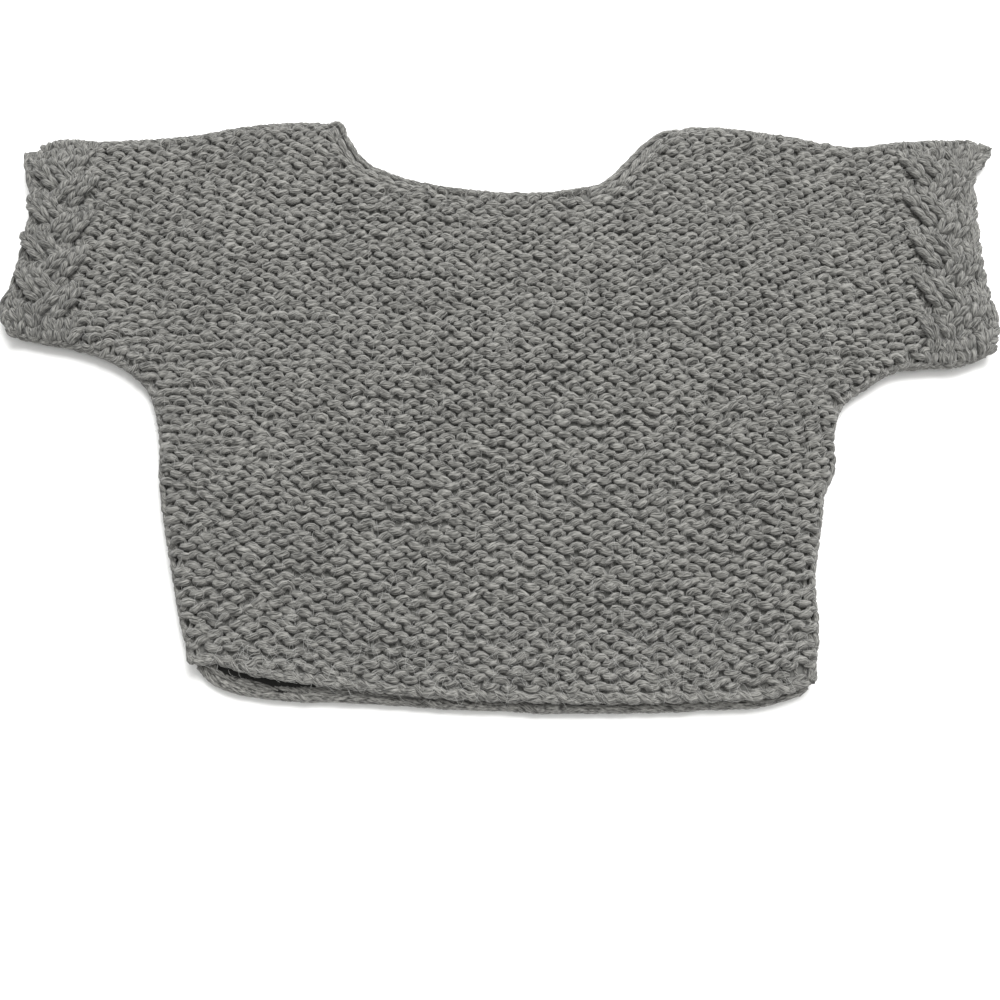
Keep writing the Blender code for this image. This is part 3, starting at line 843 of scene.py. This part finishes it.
class Plait:
    """Where the strands of one cuff's plait lie on a layer."""

    def __init__(self, layer, plan):
        self.side, self.middle, self.first, self.pitch, self.inward = plan
        near = np.abs(layer.edge[:, 0] - self.middle) < 22
        self.low = layer.edge[near & (layer.edge[:, 1] < 120)][:, 1].mean()
        self.high = layer.edge[near & (layer.edge[:, 1] > 120)][:, 1].mean()

    def angle(self, strand, y):
        """How far round its weave a strand is at this height."""
        turn = math.tau / (3 * self.pitch)
        return math.pi / 2 + (self.first - y) * turn + strand * math.tau / 3

    def fade(self, y):
        """1 where the strands are crossed, 0 by the seam and the fold."""
        ends = np.minimum(y - self.low, self.high - y)
        return smooth((ends - 4) / STRAIGHT_REACH)

    def straight(self, strand, y):
        """Where a strand goes on straight, by the order of the strands at y."""
        swings = [math.sin(self.angle(k, y)) for k in range(3)]
        return (sorted(swings).index(swings[strand]) - 1) * STRAIGHT_APART

    def line(self, strand, y):
        """The strand's distance outward from the plait's middle line."""
        fade = self.fade(y)
        straight = np.where(
            y < (self.low + self.high) / 2,
            self.straight(strand, self.low + STRAIGHT_REACH),
            self.straight(strand, self.high - STRAIGHT_REACH))
        return SWING * np.sin(self.angle(strand, y)) * fade + straight * (1 - fade)

    def level(self, strand, y):
        """How high the strand lies as it crosses over and under the others."""
        return -STRAND_OVER * np.sin(2 * self.angle(strand, y)) * self.fade(y)

    def raised(self, flat):
        """How far the plait stands above the plain knitting."""
        x, y = flat[:, 0], flat[:, 1]
        height = np.full(len(flat), BETWEEN_STRANDS)
        for k in range(3):
            away = ((x - self.middle) * self.inward - self.line(k, y)) / STRAND_HALF
            bulge = np.sqrt(np.clip(1 - away**2, 0, 1))
            top = self.level(k, y) + STRAND_DEEP * (bulge - 0.5)
            height = np.where(bulge > 0, np.maximum(height, top), height)
        return height * self.fade(y)

    def column(self, strand, offset):
        """A column of stitches along a strand, as a flat path from the bottom up."""
        y = np.arange(self.low + 1, self.high - 1, 0.5)
        x = self.middle + self.inward * self.line(strand, y)
        path = np.column_stack([x, y])
        slope = np.gradient(path, axis=0)
        slope /= np.linalg.norm(slope, axis=1)[:, None]
        return path + np.column_stack([slope[:, 1], -slope[:, 0]]) * offset


def cuff(layer, plan, share, rings, sides, floor=None):
    """One half of a cuff: its cloth, its stitches and the edge at its end."""
    plait = Plait(layer, plan)
    face = "front" if layer is FRONT else "back"
    name = f"cuff_{plait.side}_{face}"
    left, right = (-400.0, CUFF_LEFT) if plait.side == "left" else (CUFF_RIGHT, 400.0)
    loop = cloth_loop(layer, left, right, around_neck=False)
    piece = cloth(
        name + "_cloth", layer, loop, -0.4, 4.5, lambda flat: plait.raised(flat) * share)
    piece.data.materials.append(INSIDE_PAINTED_SHADE)
    rng = np.random.default_rng(len(name) * 100 + (plait.side == "left"))
    legs = []
    for strand in range(3):
        for offset in COLUMNS:
            path = plait.column(strand, offset)
            away = offset / STRAND_HALF
            bulge = STRAND_DEEP * (math.sqrt(1 - away**2) - 0.5)

            def lift(flat, strand=strand, bulge=bulge):
                y = flat[:, 1]
                height = (plait.level(strand, y) + bulge) * plait.fade(y)
                return 1.2 + 0.8 * plait.fade(y) + height * share

            inside = (layer.depth(path)[0] > SEAM_AT) & is_inside(path, layer.edge)
            inside &= (path[:, 0] > left) & (path[:, 0] < right)
            for start, stop in stretches(inside):
                if stop - start > 30:
                    legs += vees(layer, path[start:stop], lift, CUFF_STITCH, CUFF_ROW,
                                 CUFF_YARN_HALF, rng, rings)
    # At the end, one column of V stitches on the left cuff and two on the right.
    if plait.side == "left":
        end = layer.between("cuff end left, top", "cuff end left, under")[::-1]
        insets = (10.5,)
    else:
        end = layer.between("cuff end right, under", "cuff end right, top")
        insets = (10.5, 18.5)
    for inset in insets:
        legs += vees(layer, layer.inset(end, inset), 1.6, CUFF_STITCH, CUFF_ROW,
                     CUFF_YARN_HALF, rng, rings)
    legs += twisted(layer, end, inset=4.4, yarn=2.8, swing=1.5, pitch=CUFF_ROW * 2.6, rng=rng)
    stitches = tubes(name + "_stitches", legs, sides, floor)
    stitches.data.materials.append(CUFF_YARN_PAINTED_SHADE)
    for each in (piece, stitches):
        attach(each, "root")
    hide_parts(name)


# The cuffs' yarn is the body's yarn painted a little darker: painted shade on the sleeves.
CUFF_YARN_PAINTED_SHADE = yarn_material(
    "cuff_yarn_painted_shade", (0.268, 0.2645, 0.247, 1), (0.026, 0.026, 0.024, 1), 1.0)
for plan in PLAITS:
    cuff(BACK, plan, share=0.3, rings=5, sides=5, floor=0.0)
    cuff(FRONT, plan, share=1.0, rings=6, sides=6)


def neck_edge(layer, floor=None):
    """One half of the neck edge: its cloth, its V stitches and its cord."""
    face = "front" if layer is FRONT else "back"
    edge = layer.between("neck seam right", "neck seam left")
    loop = np.vstack([layer.inset(edge, SEAM_AT)[::8], evenly(NECK_LINE, 4.0)[::-1]])
    piece = cloth(f"neck_edge_{face}_cloth", layer, loop, 0.4, 5.0)
    piece.data.materials.append(INSIDE_PAINTED_SHADE)
    rng = np.random.default_rng(88 if face == "front" else 89)
    right_slope = edge[(edge[:, 0] > 20) & (edge[:, 1] < 222)][::-1]
    left_slope = edge[(edge[:, 0] < -60) & (edge[:, 1] < 225)]
    strands = []
    for slope in (right_slope, left_slope):
        path = layer.inset(slope, 12.0)
        path = path[path[:, 1] > 156]
        strands += vees(layer, path, lift=2.4, wide=10.8, tall=12.5, thick=2.7, rng=rng)
    strands += twisted(layer, edge, inset=3.3, yarn=2.3, swing=0.5, pitch=30.0, rng=rng,
                       lift=0.4)
    stitches = tubes(f"neck_edge_{face}_stitches", strands, 6, floor)
    stitches.data.materials.append(BODY_YARN)
    for each in (piece, stitches):
        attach(each, "root")
    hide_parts(f"neck_edge_{face}")


neck_edge(BACK, floor=0.0)
neck_edge(FRONT)


# The hems. The front ends in its cast-on edge, two strands of its yarn twisted
# round each other. The back's edge curls in, so a second roll shows above it.
def hem(name, layer, rolls, floor=None):
    """An edge along the hem. Rolls: how far in, yarn, swing, pitch of twist, lift."""
    rng = np.random.default_rng(41 if layer is BACK else 42)
    path = layer.between("hem corner left", "hem corner right")
    strands = []
    for inset, yarn, swing, pitch, lift in rolls:
        strands += twisted(layer, path, inset, yarn, swing, pitch, rng, lift)
    piece = tubes(name, strands, 7, floor)
    piece.data.materials.append(BODY_YARN)
    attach(piece, "root")


hem("hem_back", BACK, rolls=((4.2, 3.3, 0.5, 44.0, 0.0), (8.6, 2.7, 0.5, 38.0, -1.3)),
    floor=0.0)
hem("hem_front", FRONT, rolls=((4.6, 2.7, 1.8, 25.4, 0.0),))


# The side and underarm seams. Front and back are sewn together edge to edge
# with the same yarn, stitch by stitch, and the seam lies on the fold. At the
# shoulders one row of the knitting lies along the fold and makes a smooth edge.
seam_legs = []
rng = np.random.default_rng(51)
for start, stop in (("hem corner right", "cuff end right, under"),
                    ("cuff end left, under", "hem corner left")):
    path = FRONT.inset(FRONT.between(start, stop), SEAM_AT + 0.4)
    seam_legs += vees(FRONT, path, lift=2.0, wide=6.5, tall=8.3, thick=2.1, rng=rng)
    seam_legs += twisted(FRONT, path, inset=2.0, yarn=2.0, swing=0.6, pitch=21.0, rng=rng,
                         lift=1.8)
fold_rows = []
for start, stop in (("cuff end right, top", "neck seam right"),
                    ("neck seam left", "cuff end left, top")):
    path = FRONT.between(start, stop)
    path = path[np.abs(path[:, 0]) < 355]
    fold_rows += twisted(FRONT, path, inset=2.0, yarn=2.4, swing=0.6, pitch=25.4, rng=rng,
                         lift=2.6)
for name, strands in (("side_seams", seam_legs), ("shoulder_folds", fold_rows)):
    piece = tubes(name, strands, 6, floor=0.0)
    piece.data.materials.append(BODY_YARN)
    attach(piece, "root")


# Loose fibres. Fine wool hairs stand out of the yarn all over the front, and
# they are thickest along its hem.
FIBRE = 0.09        # half thickness of a hair
BY_HEM = 0.12       # share of the hairs along the hem
HAIR_POINTS = 5


def loose_fibres(count, seed):
    """Short bent hairs that start on the stitches and stand out of them."""
    rng = np.random.default_rng(seed)
    hairs = []
    while len(hairs) < count:
        if rng.random() < BY_HEM:
            spot = np.array([rng.uniform(-200, 190), rng.normal(-196, 14)])
        else:
            spot = np.array([rng.uniform(-365, 365), rng.uniform(-215, 225)])
        way = rng.uniform(0, math.tau)
        bend = rng.normal(0, 0.9)
        length = rng.uniform(5, 17)
        share = np.linspace(0, 1, HAIR_POINTS)
        turn = way + bend * share
        path = spot + np.cumsum(
            np.column_stack([np.cos(turn), np.sin(turn)]) * length / (HAIR_POINTS - 1), axis=0)
        if not is_inside(path[:1], FRONT.edge)[0]:
            continue
        top = rng.uniform(0.2, 2.5)
        lift = 4.7 + top * np.sin(math.pi * share) + rng.uniform(-0.6, 0.3)
        points, out = FRONT.place(path, lift)
        hairs.append((points, out, np.full(HAIR_POINTS, FIBRE) * (1 - 0.5 * share)))
    return hairs


fibres = tubes("loose_fibres", loose_fibres(count=2400, seed=61), 3, floor=0.1)
fibre_look, _, _, fibre_main = shader("loose_fibre", 0.8)
fibre_main.inputs["Base Color"].default_value = (0.42, 0.42, 0.405, 1)
fibres.data.materials.append(fibre_look)
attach(fibres, "root")


# The table, the light and the camera. A pale matt surface under soft light from
# a large window-like source beyond the shoulders, with the room filling in.
def add_floor():
    """A pale matt table, far larger than the picture."""
    mesh = bpy.data.meshes.new("table")
    mesh.from_pydata([(-4, -4, 0), (4, -4, 0), (4, 4, 0), (-4, 4, 0)], [], [(0, 1, 2, 3)])
    material, _, _, main = shader("pale_table", 0.8)
    main.inputs["Base Color"].default_value = (0.93, 0.93, 0.92, 1)
    mesh.materials.append(material)
    in_scene("table", mesh)


def add_light(name, place, size, power):
    """A square lamp that points at the middle of the sweater."""
    data = bpy.data.lights.new(name, "AREA")
    data.size = size
    data.energy = power
    light = in_scene(name, data)
    light.location = place
    light.rotation_euler = (-Vector(place)).to_track_quat("-Z", "Y").to_euler()


add_floor()
add_light("window", place=(0.50, 1.15, 2.3), size=1.7, power=96.0)
add_light("fill", place=(0.6, -0.7, 1.7), size=1.6, power=8.0)
world = bpy.data.worlds.new("room")
world.use_nodes = True
walls = world.node_tree.nodes["Background"].inputs
walls["Color"].default_value = (1, 1, 0.99, 1)
walls["Strength"].default_value = 0.64
bpy.context.scene.world = world
bpy.context.scene.view_settings.view_transform = "Standard"

# The camera looks down from the hem's side, a little off the vertical.
TILT = math.radians(20)
DISTANCE = 0.802
AIM = Vector((-0.007, -0.082, 0.009))
camera_data = bpy.data.cameras.new("camera")
camera_data.sensor_width = 36
camera_data.lens = 42.264
camera_data.clip_start = 0.01
camera = in_scene("camera", camera_data)
camera.location = AIM + DISTANCE * Vector((0, -math.sin(TILT), math.cos(TILT)))
camera.rotation_euler = (TILT, 0, 0)
bpy.context.scene.camera = camera
